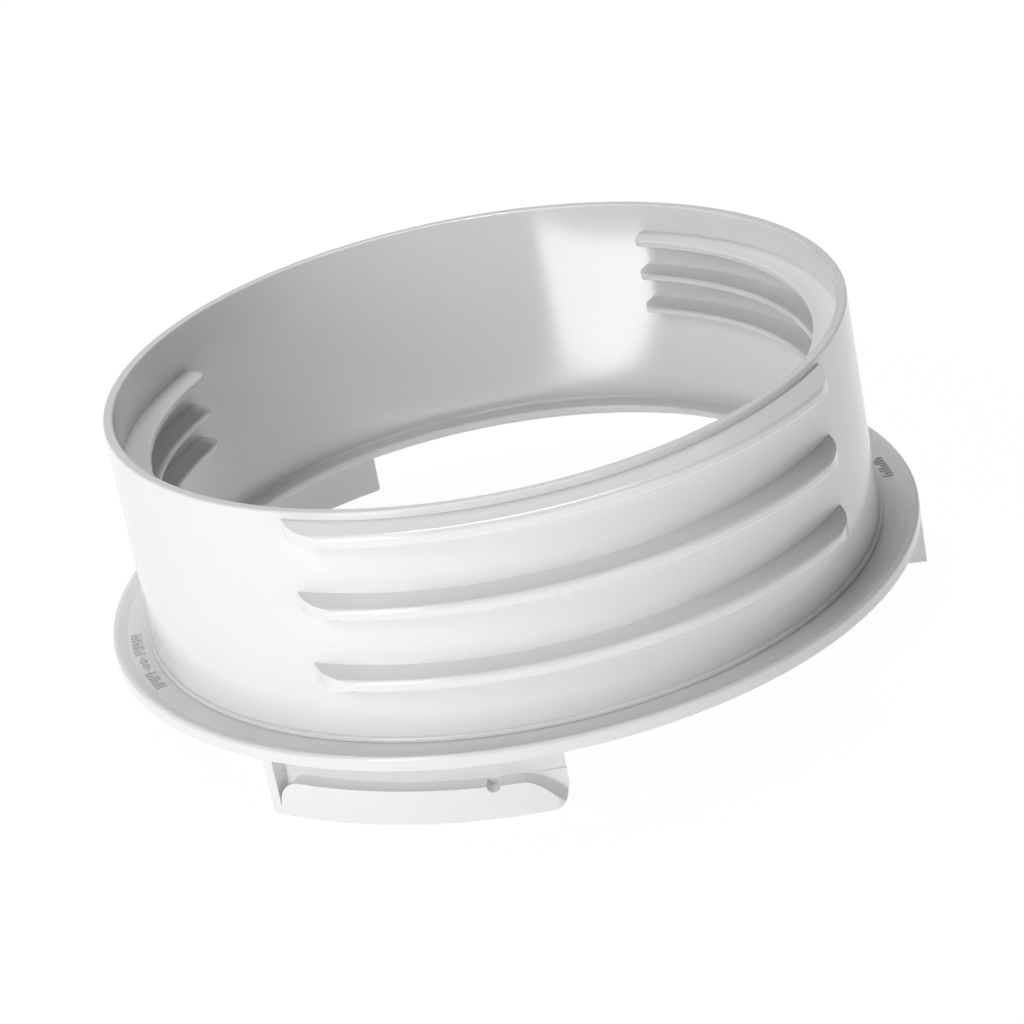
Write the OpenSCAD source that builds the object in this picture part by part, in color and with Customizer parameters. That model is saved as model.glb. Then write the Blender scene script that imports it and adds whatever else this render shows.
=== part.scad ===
// Hose collar of a deck ventilator: a ribbed hose spigot that swivels in a bayonet flange.
// Millimetres. The axis is Z, and Z = 0 is the plane of the lugs' lower ends.

/* [Collar wall] */
// Outer diameter of the collar at its rim
rim_d = 140; // [130:0.5:155]
// Height of the rim above the floor of the flange
collar_h = 44.1; // [43:0.1:70]
// Thickness of the collar wall
wall_t = 1.9; // [1.3:0.1:2.6]
// Moulding draft: how much larger the wall's radius is at the foot than at the rim
wall_draft = 0.5; // [0:0.05:1]
// Radius on the two edges of the rim
rim_round = 0.35; // [0.1:0.05:0.5]

/* [Outer ribs, for a hose pushed over the collar] */
// Ribs in each of the two outer sets
outer_count = 3; // [1:1:3]
// How far the outer ribs stand out from the wall
outer_reach = 4.9; // [3:0.1:8]
// Thickness of an outer rib at its tip
outer_tip_t = 2.3; // [1.6:0.1:3.5]
// Slope of the upper side of an outer rib, in degrees
outer_top_slope = 9.5; // [0:0.5:15]
// Slope of the lower side of an outer rib, in degrees
outer_under_slope = 4; // [0:0.5:15]
// Round on the tip edges of an outer rib
outer_tip_round = 0.8; // [0.2:0.05:0.8]
// Distance from the rim down to the root of the first outer rib
outer_first = 1.3; // [0.8:0.1:4]
// Distance from one outer rib to the next
outer_pitch = 13.85; // [9:0.05:14]
// Radius of the curve in which the end of an outer rib runs out to the wall
outer_runout = 12; // [9:0.5:18]
// Direction in which the front set of outer ribs starts, in degrees
outer_start = -122.5; // [-180:0.5:180]

/* [Inner ribs, for a hose screwed into the collar] */
// Ribs in each of the two inner sets
inner_count = 3; // [1:1:3]
// How far the inner ribs stand in from the wall
inner_reach = 5.1; // [3:0.1:6]
// Thickness of an inner rib
inner_t = 1.35; // [0.9:0.05:2.5]
// Distance from the rim down to the first inner rib
inner_first = 5.75; // [3:0.05:9]
// Distance from one inner rib to the next
inner_pitch = 7.25; // [5:0.05:9]
// Radius of the rounded end corners of an inner rib
inner_corner = 3; // [1:0.1:4.5]
// Direction in which the right-hand set of inner ribs starts, in degrees
inner_start = -34; // [-180:0.5:180]

/* [Both rib patterns] */
// Length of each set of ribs round the collar, in degrees
rib_span = 90; // [50:1:90]

/* [Hose stop and foot] */
// Free diameter inside the hose stop
stop_d = 128.8; // [116:0.2:130]
// Thickness of the hose stop
stop_t = 1.5; // [1:0.1:2]
// Height of the top of the hose stop above the floor of the flange
stop_rise = 0.8; // [0.5:0.1:3]
// Fillet between the hose stop and the wall
stop_fillet = 0.6; // [0.2:0.1:1.5]
// Width of the shoulder that stands on the flange round the wall
shoulder_w = 0.7; // [0.5:0.1:1.5]
// Height of that shoulder
shoulder_h = 0.8; // [0.5:0.1:3]

/* [Retaining ring] */
// Thickness of the ring that holds the collar from below
ring_t = 1.1; // [0.8:0.05:2]
// How far the ring reaches out under the flange
ring_reach = 2.3; // [1.2:0.1:2.5]
// Depth of the step that the ring is pressed up against
ring_step = 0.6; // [0.3:0.1:0.8]

/* [Flange] */
// Thickness of the flange's floor
plate_t = 1.55; // [1.2:0.05:4]
// Height of the raised lip above the floor
lip_h = 1.05; // [0.9:0.05:3]
// Round of the lip's crown
lip_round = 0.7; // [0.3:0.05:0.8]
// Width of the lip from its foot on the floor to the edge of the flange
lip_w = 2.7; // [2.2:0.1:3.4]

/* [Bayonet lugs] */
// Number of lugs
lug_count = 3; // [2:1:4]
// Length of one lug, in degrees
lug_span = 41.5; // [34:0.5:60]
// Direction of the stop end of the first lug, in degrees
lug_start = -130; // [-180:0.5:180]
// Distance from the underside of the flange to the lower end of the lugs
lug_drop = 10.85; // [9:0.05:20]
// How far the lugs' outer faces lie inside the edge of the flange
lug_inset = 0.1; // [0.05:0.05:1]
// How far the hooks stand out from the neck
hook_reach = 3.1; // [2.5:0.1:6]
// Thickness of the neck, of the hook's face and of the hook's shelf
lug_wall = 1.35; // [1:0.05:1.5]
// Height of the gap between flange and hook, in the middle of the hook
slot_h = 4.15; // [3:0.05:6]
// How far the gap widens from the stop to the detent, which pulls the lug tight as it turns
wedge_rise = 0.5; // [0:0.05:1]
// Thickness of the end stop
stop_rib_t = 2; // [1.2:0.1:4]
// Radius of the rounded end of the hook beside the stop
hook_nose = 5; // [2:0.1:6]
// Radius of the detent groove across the hook
detent_r = 1.2; // [0.4:0.05:1.3]
// Length of the lead-in at the open end of the hook, in degrees
lead_in = 6.2; // [3:0.1:8]
// Distance from the detent to the start of the lead-in, in degrees
detent_gap = 3.4; // [1.5:0.1:6]
// Round of the lug's lower corner at its open end
lug_corner = 4; // [1:0.1:5]
// Round of the lug's lower corner at its stop end
stop_corner = 0.8; // [0.5:0.1:2]

/* [Clearances] */
// Gap between the collar's journal and the hole in the flange, on the radius
journal_gap = 0.05; // [0.02:0.01:0.1]
// Gap above and below the flange's floor in the swivel
axial_gap = 0.1; // [0.05:0.01:0.3]
// Gap between the edge of the retaining ring and the necks of the lugs
ring_gap = 0.65; // [0.3:0.05:2]

/* [Hidden] */
$fn = 96;
white = [0.93, 0.93, 0.92];
off_white = [0.86, 0.86, 0.85];
bite = 0.4;                                  // overlap that joins pieces of one moulding
past = 1;                                    // how far a cutter runs past what it cuts
proud = 0.05;                                // lets a rounding cross its flat cleanly, not graze it

under_z = lug_drop;                          // underside of the flange
floor_z = under_z + plate_t;                 // floor of the flange

rim_r = rim_d / 2;
rim_z = floor_z + collar_h;
journal_r = rim_r + wall_draft;              // the foot of the wall runs on as the journal
bore_r = journal_r - wall_t;
hole_r = journal_r + journal_gap;
shoulder_r = journal_r + shoulder_w;
shoulder_z = floor_z + axial_gap;

step_z = under_z - axial_gap;                // the ring is pressed up to this step
tail_z = step_z - ring_t;                    // lower end of collar and ring
tail_r = journal_r - ring_step;
ring_r = journal_r + ring_reach;

stop_r = stop_d / 2;
stop_z = floor_z + stop_rise;

outer_tip_r = rim_r + outer_reach;
inner_tip_r = rim_r - wall_t - inner_reach;

neck_in = ring_r + ring_gap;                 // inner face of the lugs' neck
neck_r = neck_in + lug_wall;                 // outer face of the neck
hook_r = neck_r + hook_reach;                // outer face of the lugs
flange_r = hook_r + lug_inset;
hook_z = under_z - slot_h;                   // top of the hook in its middle
lead_a = lug_span - lead_in;                 // where the lead-in starts
detent_a = lead_a - detent_gap;
wall_a = lug_wall / hook_r * 180 / PI;       // the lug's wall thickness as an angle
stop_a = stop_rib_t / hook_r * 180 / PI;     // the end stop's thickness as an angle
nose_a = stop_a + hook_nose / neck_r * 180 / PI;
middle_a = (nose_a + detent_a) / 2;
wedge_run = neck_r * sin(detent_a - middle_a) * 2;
lead_cone = hook_reach * 2.3;                // reach of the lead-in cone past the neck

// ---- profiles ----

function unit(v) = v / norm(v);
function half_angle(a, p, b) = acos(unit(a - p) * unit(b - p)) / 2;
function tangent_point(a, p, b, r) = p + unit(a - p) * r / tan(half_angle(a, p, b));
function round_centre(a, p, b, r) = p + unit(unit(a - p) + unit(b - p)) * r / sin(half_angle(a, p, b));

// A polygon whose outward corners may be rounded: each corner is [x, y, radius]
module rounded_outline(corners) {
    n = len(corners);
    p = [for (c = corners) [c.x, c.y]];
    polygon([
        for (i = [0:n - 1])
            let (a = p[(i + n - 1) % n], b = p[(i + 1) % n], r = corners[i].z)
            each r > 0 ? [tangent_point(a, p[i], b, r), tangent_point(b, p[i], a, r)] : [p[i]]
    ]);
    for (i = [0:n - 1])
        if (corners[i].z > 0)
            translate(round_centre(p[(i + n - 1) % n], p[i], p[(i + 1) % n], corners[i].z))
                circle(corners[i].z);
}

// The web of a fillet in the corner at the origin, rising along x and y
module fillet_web(r) {
    difference() {
        translate([-bite, -bite]) square(r + bite);
        translate([r, r]) circle(r);
    }
}

// ---- shapes round the axis ----

// Children's profile swept round the axis from one direction to another
module sweep(from, to) {
    rotate([0, 0, from]) rotate_extrude(angle = to - from) children();
}

// Children's outline, drawn along the rim and upwards, pushed outwards in direction a
module along_radius(a, from_r, to_r) {
    rotate([0, 0, a]) translate([from_r, 0, 0]) rotate([90, 0, 90])
        linear_extrude(to_r - from_r) children();
}

// Cutter that rounds the end of a swept bar, seen from above. side is 1 or -1 for the bar's last or
// first end, and way is 1 or -1 for a bar whose free edge is its outer or inner one.
module end_round(a, centre_r, r, side, way, from_z, to_z) {
    rotate([0, 0, a]) translate([centre_r, 0, from_z]) linear_extrude(to_z - from_z)
        difference() {
            translate([way > 0 ? 0 : -(r + past), side > 0 ? 0 : -(r + past)]) square(r + past);
            circle(r);
        }
}

// ---- collar ----

module wall_profile() {
    rounded_outline([
        [rim_r - wall_t, rim_z, rim_round],
        [bore_r, stop_z, 0],
        [bore_r, tail_z, 0],
        [tail_r, tail_z, 0],
        [tail_r, step_z, 0],
        [journal_r, step_z, 0],
        [journal_r, floor_z, 0],
        [rim_r, rim_z, rim_round]
    ]);
}

module foot_profile() {
    shoulder_top = shoulder_z + shoulder_h;
    rounded_outline([
        [journal_r - bite, shoulder_z, 0],
        [shoulder_r, shoulder_z, 0],
        [shoulder_r, shoulder_top, shoulder_w / 2],
        [journal_r - bite, shoulder_top, 0]
    ]);
}

module stop_profile() {
    rounded_outline([
        [bore_r + bite, stop_z - stop_t, 0],
        [bore_r + bite, stop_z, 0],
        [stop_r, stop_z, stop_t / 4],
        [stop_r, stop_z - stop_t, stop_t / 4]
    ]);
    translate([bore_r, stop_z]) mirror([1, 0]) fillet_web(stop_fillet);
}

module outer_rib_profile() {
    root_r = rim_r - wall_t / 2;
    top_drop = tan(outer_top_slope) * outer_reach;
    root_rise = tan(outer_top_slope) * wall_t / 2;
    under_rise = tan(outer_under_slope) * (outer_tip_r - root_r);
    rounded_outline([
        [root_r, root_rise, 0],
        [root_r, -top_drop - outer_tip_t - under_rise, 0],
        [outer_tip_r, -top_drop - outer_tip_t, outer_tip_round],
        [outer_tip_r, -top_drop, outer_tip_round]
    ]);
}

module inner_rib_profile() {
    root_r = rim_r - wall_t / 2;
    edge = inner_t / 3;
    rounded_outline([
        [root_r, 0, 0],
        [root_r, -inner_t, 0],
        [inner_tip_r, -inner_t, edge],
        [inner_tip_r, 0, edge]
    ]);
}

// One set of outer ribs. Each end runs out to the wall along an arc that leaves the tip smoothly.
module outer_rib_set(start, drop) {
    centre_r = outer_tip_r - outer_runout;
    run = acos((centre_r ^ 2 + rim_r ^ 2 - outer_runout ^ 2) / (2 * centre_r * rim_r));
    difference() {
        for (i = [0:outer_count - 1])
            translate([0, 0, rim_z - outer_first - drop - i * outer_pitch])
                sweep(start, start + rib_span) outer_rib_profile();
        end_round(start + run, centre_r, outer_runout, -1, 1, floor_z, rim_z);
        end_round(start + rib_span - run, centre_r, outer_runout, 1, 1, floor_z, rim_z);
    }
}

// One set of inner ribs. Each end is square to the wall, with its free corner rounded.
module inner_rib_set(start, drop) {
    centre_r = inner_tip_r + inner_corner;
    run = asin(inner_corner / centre_r);
    difference() {
        for (i = [0:inner_count - 1])
            translate([0, 0, rim_z - inner_first - drop - i * inner_pitch])
                sweep(start, start + rib_span) inner_rib_profile();
        end_round(start + run, centre_r, inner_corner, -1, -1, floor_z, rim_z);
        end_round(start + rib_span - run, centre_r, inner_corner, 1, -1, floor_z, rim_z);
    }
}

// Ribbed wall, hose stop and foot in one moulding. Opposite sets of ribs lie half a pitch apart,
// as the two halves of one thread do.
module hose_collar() {
    color(white) {
        rotate_extrude() {
            wall_profile();
            foot_profile();
            stop_profile();
        }
        for (half = [0, 1]) {
            outer_rib_set(outer_start + 180 * half, outer_pitch / 2 * half);
            inner_rib_set(inner_start + 180 * half, inner_pitch / 2 * half);
        }
    }
}

// ---- retaining ring ----

// Flat ring pressed on the collar's tail from below, which holds the collar in the flange
module retaining_ring() {
    edge = ring_t / 4;
    color(off_white)
        rotate_extrude()
            rounded_outline([
                [tail_r, tail_z, 0],
                [ring_r, tail_z, edge],
                [ring_r, step_z, edge],
                [tail_r, step_z, 0]
            ]);
}

// ---- bayonet flange ----

// The lip's flank runs from its foot on the floor up to the crown, which it meets smoothly
module flange_profile() {
    foot_to_crown = [lip_w - lip_round, lip_h - lip_round];
    flank = atan2(foot_to_crown.y, foot_to_crown.x) + asin(lip_round / norm(foot_to_crown));
    rounded_outline([
        [hole_r, under_z, 0],
        [flange_r, under_z, 0],
        [flange_r, floor_z + lip_w * tan(flank), lip_round],
        [flange_r - lip_w, floor_z, 0],
        [hole_r, floor_z, 0]
    ]);
}

// Raw hook: a ring piece beside the neck, with its shelf tilted along the lug
module hook_block() {
    difference() {
        sweep(0, lug_span) translate([neck_r - bite, 0]) square([hook_reach + bite, hook_z + past]);
        along_radius(middle_a, 0, flange_r + past)
            translate([0, hook_z]) rotate(-atan(wedge_rise / wedge_run))
                translate([-flange_r, 0]) square([2 * flange_r, lug_drop]);
    }
}

// Height of the hook's shelf in direction a
function shelf_z(a) = hook_z - wedge_rise / wedge_run * neck_r * sin(a - middle_a);

// The round nose of the hook beside the stop
module nose_cut() {
    along_radius(nose_a, neck_r, flange_r + past)
        translate([0, shelf_z(nose_a) - hook_nose + proud]) difference() {
            translate([-hook_nose - past, 0]) square([hook_nose + past, 2 * hook_nose]);
            circle(hook_nose);
        }
}

// The lead-in: past its start the hook is bounded by a cone that lies on its side, with its top
// line in the shelf, so the hook falls away along the lug and outwards at once
module lead_in_cut() {
    cone_l = 3 * lug_drop;
    rotate([0, 0, lead_a]) difference() {
        translate([neck_r, 0, -past]) cube([hook_reach + past, flange_r / 2, lug_drop + past]);
        translate([neck_r + lead_cone, 0, shelf_z(lead_a) + proud]) rotate([0, -135, 0])
            cylinder(h = cone_l, r1 = 0, r2 = cone_l);
    }
}

// The hollow under the hook leaves walls of one thickness
module hook_core() {
    sweep(stop_a + 2 * wall_a, lead_a)
        translate([neck_r, -past])
            square([hook_reach - lug_wall, past + shelf_z(lead_a) - lug_wall]);
}

module hook() {
    corner_a = lug_span - asin(hook_reach / hook_r);
    difference() {
        hook_block();
        nose_cut();
        lead_in_cut();
        end_round(corner_a, neck_r, hook_reach + proud, 1, 1, -past, lug_drop);
        along_radius(detent_a, neck_r, flange_r + past)
            translate([0, shelf_z(detent_a)]) circle(detent_r);
    }
}

// Rounds the lower corner of the lug at one end
module lower_corner_cut(a, side, r) {
    along_radius(a, neck_in - past, flange_r + past)
        mirror([side > 0 ? 0 : 1, 0]) translate([-r, 0]) difference() {
            translate([0, -past]) square([r + past, r + past]);
            translate([0, r]) circle(r + proud);
        }
}

// One lug: neck, end stop and hook. It starts at its stop and runs anticlockwise, seen from above.
module bayonet_lug() {
    difference() {
        union() {
            sweep(0, lug_span)
                translate([neck_in, 0]) square([lug_wall, lug_drop + bite]);
            sweep(0, stop_a)
                translate([neck_r - bite, 0]) square([hook_reach + bite, lug_drop + bite]);
            hook();
        }
        hook_core();
        lower_corner_cut(0, -1, stop_corner);
        lower_corner_cut(lug_span, 1, lug_corner);
    }
}

// Flange with its lip and lugs in one moulding
module bayonet_base() {
    color(white) {
        rotate_extrude() flange_profile();
        for (i = [0:lug_count - 1])
            rotate([0, 0, lug_start + i * 360 / lug_count]) bayonet_lug();
    }
}

bayonet_base();
hose_collar();
retaining_ring();
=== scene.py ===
import math

import bmesh
import bpy
from mathutils import Matrix, Vector


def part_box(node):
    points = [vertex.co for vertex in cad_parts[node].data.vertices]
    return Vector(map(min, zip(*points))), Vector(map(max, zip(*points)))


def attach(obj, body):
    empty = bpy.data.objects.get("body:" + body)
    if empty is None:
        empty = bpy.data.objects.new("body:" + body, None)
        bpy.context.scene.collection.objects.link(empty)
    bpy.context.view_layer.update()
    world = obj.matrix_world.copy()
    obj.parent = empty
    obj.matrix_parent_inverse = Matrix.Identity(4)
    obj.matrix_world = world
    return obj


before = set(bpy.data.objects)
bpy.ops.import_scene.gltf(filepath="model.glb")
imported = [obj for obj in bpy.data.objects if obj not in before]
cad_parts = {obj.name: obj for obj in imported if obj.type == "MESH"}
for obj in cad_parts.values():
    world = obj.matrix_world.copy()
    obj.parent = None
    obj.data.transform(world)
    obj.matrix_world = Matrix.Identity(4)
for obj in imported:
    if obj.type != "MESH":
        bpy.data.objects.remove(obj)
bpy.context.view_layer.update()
mm = 0.001

# where things are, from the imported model
flangeHigh = Vector(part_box("bayonet_base")[1])
print("frame loaded")


class Socket:
    # wraps one output socket, so that shader maths reads as Python
    def __init__(self, tree, out):
        self.tree = tree
        self.out = out

    def combine(self, operation, first, second):
        node = self.tree.nodes.new("ShaderNodeMath")
        node.operation = operation
        for slot, value in enumerate((first, second)):
            if isinstance(value, Socket):
                self.tree.links.new(value.out, node.inputs[slot])
            else:
                node.inputs[slot].default_value = value
        return Socket(self.tree, node.outputs[0])

    def __add__(self, other):
        return self.combine("ADD", self, other)

    def __radd__(self, other):
        return self.combine("ADD", other, self)

    def __sub__(self, other):
        return self.combine("SUBTRACT", self, other)

    def __rsub__(self, other):
        return self.combine("SUBTRACT", other, self)

    def __mul__(self, other):
        return self.combine("MULTIPLY", self, other)

    def __rmul__(self, other):
        return self.combine("MULTIPLY", other, self)


class Shader:
    # a material, or the world, whose nodes come from one method; sockets go by their name
    # or by their place in the list
    def __init__(self, owner):
        self.owner = owner
        owner.use_nodes = True
        self.tree = owner.node_tree
        self.tree.nodes.clear()

    def node(self, kind, settings=None, sockets=None, output=0):
        made = self.tree.nodes.new("ShaderNode" + kind)
        for key, value in (settings or {}).items():
            if key == "stops":
                ramp = made.color_ramp.elements
                while len(ramp) < len(value):
                    ramp.new(0.5)
                for element, (place, colour) in zip(ramp, value):
                    element.position = place
                    element.color = colour
            else:
                setattr(made, key, value)
        for key, value in (sockets or {}).items():
            if isinstance(value, Socket):
                self.tree.links.new(value.out, made.inputs[key])
            else:
                made.inputs[key].default_value = value
        return Socket(self.tree, made.outputs[output]) if made.outputs else None


def grey(value):
    return (value, value, value, 1.0)


def addObject(name, mesh):
    data = bpy.data.meshes.new(name)
    mesh.to_mesh(data)
    mesh.free()
    made = bpy.data.objects.new(name, data)
    bpy.context.scene.collection.objects.link(made)
    return made


collarPlastic = {
    "colour": 0.76,          # plain white of the moulding
    "cloudiness": 0.010,     # how much the white drifts over the piece
    "warmth": 0.997,         # share of blue that the lighter patches keep
    "roughness": 0.13,
    "roughnessDrift": 0.05,
    "ripple": 0.008,         # strength of the moulding's faint waviness
    "rippleSize": 45.0,
    "grain": 0.03,           # share of a fine grain in the waviness
}
flangePlastic = {
    "colour": 0.755,
    "cloudiness": 0.012,
    "warmth": 0.995,
    "roughness": 0.17,
    "roughnessDrift": 0.06,
    "ripple": 0.008,
    "rippleSize": 60.0,
    "grain": 0.05,
}
markPlastic = dict(flangePlastic, colour=0.54)   # the marks stand out darker than the flange
ringPlastic = {
    "colour": 0.73,
    "cloudiness": 0.015,
    "warmth": 0.985,
    "roughness": 0.32,
    "roughnessDrift": 0.08,
    "ripple": 0.012,
    "rippleSize": 80.0,
    "grain": 0.12,
}


plasticPatterns = {
    # what all the plastics share: scale and detail of each noise, on Object coordinates
    "cloud": {"Scale": 22.0, "Detail": 3.0},
    "drift": {"Scale": 60.0, "Detail": 4.0, "Roughness": 0.6},
    "grain": {"Scale": 1400.0, "Detail": 2.0},
    "rippleDetail": 2.0,
    "bumpDepth": 0.002,      # m, at a strength of 1
    "ior": 1.5,
}


def mouldedPlastic(name, look):
    shared = plasticPatterns
    material = bpy.data.materials.new(name)
    shader = Shader(material)
    place = shader.node("TexCoord", output=3)
    cloud = shader.node("TexNoise", {}, dict(shared["cloud"], Vector=place))
    drift = shader.node("TexNoise", {}, dict(shared["drift"], Vector=place))
    ripple = shader.node("TexNoise", {}, {
        "Vector": place, "Scale": look["rippleSize"], "Detail": shared["rippleDetail"],
    })
    grain = shader.node("TexNoise", {}, dict(shared["grain"], Vector=place))
    low = look["colour"] - look["cloudiness"]
    high = look["colour"] + look["cloudiness"]
    # a colour mix keeps its two colours in sockets 6 and 7, and gives the third output
    colour = shader.node("Mix", {"data_type": "RGBA"}, {
        0: cloud, 6: grey(low), 7: (high, high, high * look["warmth"], 1.0),
    }, 2)
    rough = look["roughness"] + (drift - 0.5) * look["roughnessDrift"]
    bump = shader.node("Bump", {}, {
        "Strength": look["ripple"], "Distance": shared["bumpDepth"],
        "Height": ripple + grain * look["grain"],
    })
    surface = shader.node("BsdfPrincipled", {}, {
        "Base Color": colour, "Roughness": rough, "Normal": bump, "IOR": shared["ior"],
    })
    shader.node("OutputMaterial", {}, {"Surface": surface})
    return material


stageLook = {
    "floorSize": 3.0,
    "floorGrey": 0.8,
    "shadow": 0.04,          # share of the floor that the camera sees as lit and shaded
    "white": 1.0,            # what the camera sees behind the part
    "mirrored": 1.0,         # what the gloss mirrors of the floor
    "mirroredSky": 3.0,      # what the gloss mirrors straight overhead
    # share of that which it mirrors at each height: (sine of the height, share)
    "skyStops": ((0.0, 0.2), (0.72, 0.2), (0.88, 1.0)),
    "worldLight": 0.0,       # plain light from all round, off here
    "floorLight": 1.0,       # light that the floor throws up, as a light table does
    "tableSpan": 0.5,        # m
    # how bright the table is from its middle outwards: (share of the span, brightness)
    "table": ((0.14, 0.25), (0.16, 0.53), (0.26, 0.53), (0.30, 0.62)),
}


def glow(shader, strength, colour=grey(1.0)):
    kind = "Background" if isinstance(shader.owner, bpy.types.World) else "Emission"
    return shader.node(kind, {}, {"Color": colour, "Strength": strength})


def showStage(shader, lighting, mirrored, shown):
    # the camera sees plain white, the gloss mirrors the stage, and other rays meet the lighting
    path = shader.node("LightPath")      # first output: Is Camera Ray
    glossy = Socket(shader.tree, path.out.node.outputs["Is Glossy Ray"])
    through = Socket(shader.tree, path.out.node.outputs["Is Transmission Ray"])
    either = glossy.combine("MAXIMUM", glossy, through)
    other = shader.node("MixShader", {}, {0: either, 1: lighting, 2: mirrored})
    white = glow(shader, stageLook["white"])
    return shader.node("MixShader", {}, {0: path * shown, 1: other, 2: white})


def makeWorld():
    world = bpy.data.worlds.new("studio")
    bpy.context.scene.world = world
    shader = Shader(world)
    direction = shader.node("TexCoord", output=0)
    height = shader.node("SeparateXYZ", {}, {"Vector": direction}, 2)   # z: sine of the height
    stops = [(share, grey(bright)) for share, bright in stageLook["skyStops"]]
    sky = shader.node("ValToRGB", {"stops": stops}, {0: height})
    mirrored = glow(shader, stageLook["mirroredSky"], sky)
    light = glow(shader, stageLook["worldLight"])
    shader.node("OutputWorld", {}, {"Surface": showStage(shader, light, mirrored, 1.0)})


def makeFloor():
    mesh = bmesh.new()
    bmesh.ops.create_grid(mesh, x_segments=1, y_segments=1, size=stageLook["floorSize"])
    floor = addObject("floor", mesh)
    shader = Shader(bpy.data.materials.new("pale_floor"))
    place = shader.node("TexCoord", output=3)
    distance = shader.node("VectorMath", {"operation": "LENGTH"}, {0: place}, 1)
    stops = [(share, grey(bright)) for share, bright in stageLook["table"]]
    fade = shader.node("ValToRGB", {"stops": stops}, {0: distance * (1.0 / stageLook["tableSpan"])})
    matt = shader.node("BsdfDiffuse", {}, {"Color": grey(stageLook["floorGrey"])})
    lit = shader.node("AddShader", {}, {0: matt, 1: glow(shader, stageLook["floorLight"], fade)})
    seen = showStage(shader, lit, glow(shader, stageLook["mirrored"]), 1.0 - stageLook["shadow"])
    shader.node("OutputMaterial", {}, {"Surface": seen})
    floor.data.materials.append(shader.owner)


lightSheet = {
    # a bright sheet that lies under the part, which the glossy inner wall mirrors as an
    # upright band; only the gloss sees it
    "corners": ((0.0005, 0.0350), (-0.0773, 0.0020), (-0.0490, -0.0582)),
    "above": 0.0004,         # m over the floor
    "strength": 11.0,
}


def makeLightSheet():
    sheet = lightSheet
    mesh = bmesh.new()
    mesh.faces.new([mesh.verts.new((x, y, sheet["above"])) for x, y in sheet["corners"]])
    bmesh.ops.recalc_face_normals(mesh, faces=mesh.faces)
    panel = addObject("light_sheet", mesh)
    shader = Shader(bpy.data.materials.new("light_sheet"))
    clear = shader.node("BsdfTransparent")
    lit = showStage(shader, clear, glow(shader, sheet["strength"]), 1.0)
    shader.node("OutputMaterial", {}, {"Surface": lit})
    panel.data.materials.append(shader.owner)
    panel.visible_shadow = False


cameraView = {
    "place": (0.0, -0.55743, 0.27833),
    "aim": (0.00134, 0.01753, 0.01275),
    "roll": -11.04,          # degrees that the camera is turned about its own line of sight
    "focal": 113.188,
    "sensor": 36.0,
    "nearest": 0.01,         # m, nothing closer is shown
}


def makeCamera():
    place = Vector(cameraView["place"])
    forward = (Vector(cameraView["aim"]) - place).normalized()
    right = forward.cross(Vector((0.0, 0.0, 1.0))).normalized()
    up = right.cross(forward)
    basis = Matrix((right, up, -forward)).transposed().to_4x4()
    turn = Matrix.Rotation(math.radians(cameraView["roll"]), 4, "Z")
    lens = bpy.data.cameras.new("camera")
    lens.lens = cameraView["focal"]
    lens.sensor_width = cameraView["sensor"]
    lens.clip_start = cameraView["nearest"]
    camera = bpy.data.objects.new("camera", lens)
    camera.matrix_world = Matrix.Translation(place) @ basis @ turn
    bpy.context.scene.collection.objects.link(camera)
    bpy.context.scene.camera = camera


lampStand = {
    "aim": (0.0, 0.0, 0.03),
    "distance": 0.9,
    "size": 0.40,            # m across
}
lamps = {
    # name: direction it comes from (degrees round, degrees up), power in W
    "frontLow": (-130.0, 8.0, 2.7),
    "frontHigh": (-130.0, 40.0, 2.55),
    "frontRight": (-60.0, 4.0, 1.2),
    "back": (90.0, 40.0, 0.5),
    "top": (90.0, 70.0, 3.5),
    "left": (150.0, 30.0, 0.6),
}


def makeLamps():
    aim = Vector(lampStand["aim"])
    for name, (around, height, power) in lamps.items():
        a, h = math.radians(around), math.radians(height)
        towards = Vector((math.cos(a) * math.cos(h), math.sin(a) * math.cos(h), math.sin(h)))
        data = bpy.data.lights.new(name, "AREA")
        data.shape = "DISK"
        data.size = lampStand["size"]
        data.energy = power
        lamp = bpy.data.objects.new(name, data)
        lamp.location = aim + towards * lampStand["distance"]
        lamp.rotation_euler = towards.to_track_quat("Z", "Y").to_euler()
        bpy.context.scene.collection.objects.link(lamp)


flangeMarks = {
    # generic strokes and a plain double arrow, raised on the flange's floor
    "lipHeight": 1.05,       # how far the floor lies under the flange's lip, mm
    "height": 0.30,          # mm above the floor
    "sink": 0.05,            # mm that they reach into the floor
    "softness": 0.06,        # bevel on the upper edges, mm
    "sharpEdge": 0.5,        # an edge that turns by more than this (radians) is bevelled
    "inner": 72.6,           # radii that a group of strokes fills, mm
    "outer": 74.6,
    "stroke": 0.32,          # degrees
    "shorter": 0.7,          # mm that every third stroke is shorter by
    # groups of strokes: first, last, how many (degrees round)
    "groups": ((-176.8, -170.0, 9), (-163.4, -157.8, 7), (0.9, 7.8, 8)),
    # plain double arrow between the left groups: one tip, the other tip
    "arrow": (-169.3, -164.0),
    "headLength": 2.0,       # degrees
    "headWidth": 1.5,        # mm
    "shaftWidth": 0.5,
    "shaftSteps": 4,         # straight pieces that the bent shaft is made of
    "bevelSteps": 2,
}


def arcBar(mesh, inner, outer, start, end, steps=1):
    # a flat piece of a ring, spun from a radial edge
    a = math.radians(start)
    ends = [
        mesh.verts.new((r * mm * math.cos(a), r * mm * math.sin(a), 0.0))
        for r in (inner, outer)
    ]
    edge = mesh.edges.new(ends)
    bmesh.ops.spin(
        mesh, geom=ends + [edge], cent=(0, 0, 0), axis=(0, 0, 1),
        angle=math.radians(end - start), steps=steps, use_merge=False,
    )


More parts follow.
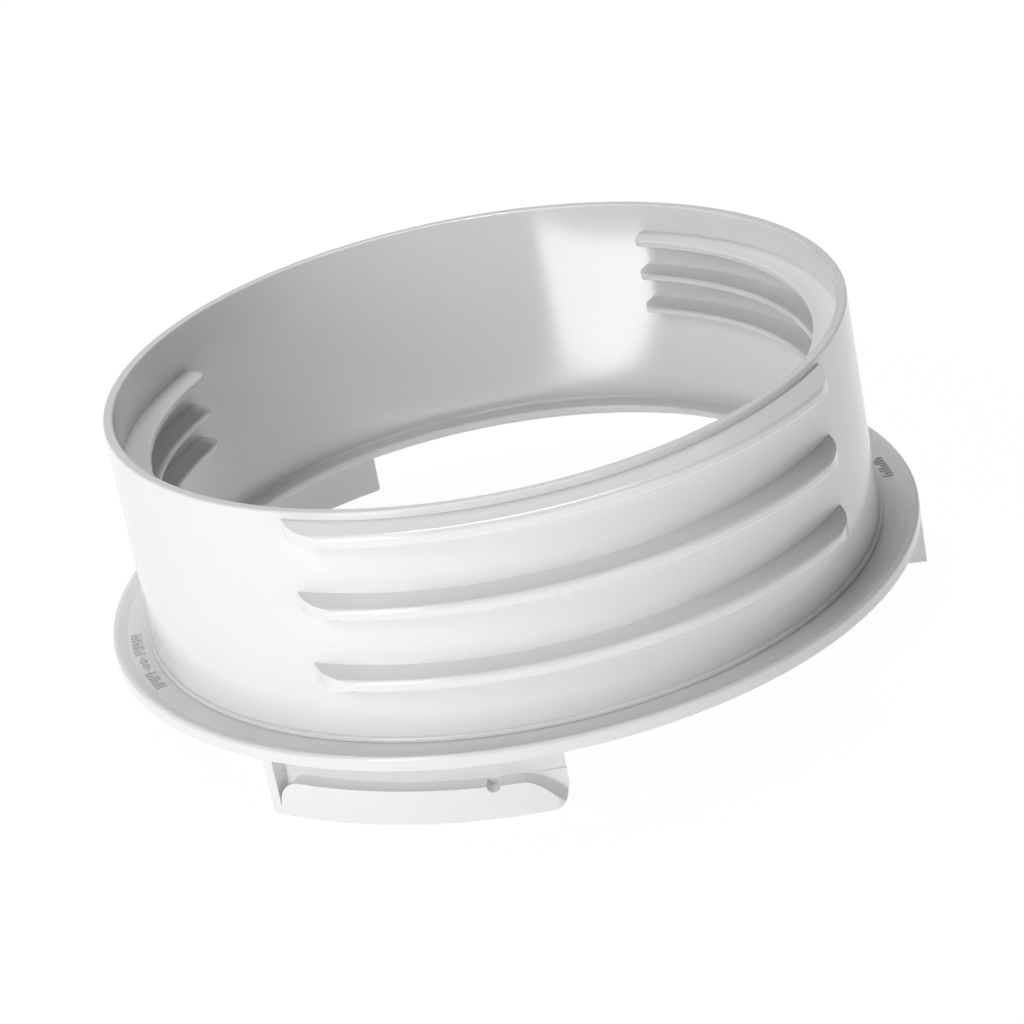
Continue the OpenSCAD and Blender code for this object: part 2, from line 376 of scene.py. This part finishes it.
def arrowHead(mesh, middle, width, tip, back):
    # a flat triangle that points along the ring
    corners = []
    for radius, degrees in ((middle, tip), (middle - width / 2, back), (middle + width / 2, back)):
        a = math.radians(degrees)
        corners.append(mesh.verts.new((radius * mm * math.cos(a), radius * mm * math.sin(a), 0.0)))
    mesh.faces.new(corners)


def makeFlangeMarks():
    marks = flangeMarks
    mesh = bmesh.new()
    for first, last, count in marks["groups"]:
        pitch = (last - first - marks["stroke"]) / (count - 1)
        for number in range(count):
            start = first + number * pitch
            short = number % 3 == 1
            inner = marks["inner"] + (marks["shorter"] if short else 0.0)
            arcBar(mesh, inner, marks["outer"], start, start + marks["stroke"])
    low, high = marks["arrow"]
    middle = (marks["inner"] + marks["outer"]) / 2
    half = marks["shaftWidth"] / 2
    head = marks["headLength"]
    arrowHead(mesh, middle, marks["headWidth"], low, low + head)
    arrowHead(mesh, middle, marks["headWidth"], high, high - head)
    arcBar(mesh, middle - half, middle + half, low + head, high - head, marks["shaftSteps"])

    flat = list(mesh.faces)
    raised = bmesh.ops.extrude_face_region(mesh, geom=flat)["geom"]
    top = [part for part in raised if isinstance(part, bmesh.types.BMVert)]
    bmesh.ops.translate(mesh, verts=top, vec=(0, 0, (marks["height"] + marks["sink"]) * mm))
    bmesh.ops.recalc_face_normals(mesh, faces=mesh.faces)
    mesh.normal_update()
    rim = [
        edge for edge in mesh.edges
        if edge.verts[0].co.z > 0 and edge.verts[1].co.z > 0
        and edge.calc_face_angle(0.0) > marks["sharpEdge"]
    ]
    bmesh.ops.bevel(
        mesh, geom=rim, offset=marks["softness"] * mm, offset_type="OFFSET", affect="EDGES",
        segments=marks["bevelSteps"], profile=0.5, material=-1,
    )
    floorHeight = flangeHigh.z - marks["lipHeight"] * mm
    bmesh.ops.translate(mesh, verts=mesh.verts, vec=(0, 0, floorHeight - marks["sink"] * mm))
    raisedMarks = addObject("flange_marks", mesh)
    raisedMarks.data.materials.append(mouldedPlastic("glossy_mark_plastic", markPlastic))
    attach(raisedMarks, "flange")


def finishCadPieces():
    finishes = {
        "hose_collar": mouldedPlastic("glossy_collar_plastic", collarPlastic),
        "bayonet_base": mouldedPlastic("glossy_flange_plastic", flangePlastic),
        "retaining_ring": mouldedPlastic("satin_ring_plastic", ringPlastic),
    }
    for name, finish in finishes.items():
        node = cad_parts[name]
        node.data.materials.clear()
        node.data.materials.append(finish)


bpy.context.scene.view_settings.view_transform = "Standard"
makeWorld()
makeFloor()
makeLightSheet()
makeCamera()
makeLamps()
print("stage, camera and lamps made")
finishCadPieces()
print("materials made")
makeFlangeMarks()
print("marks made")
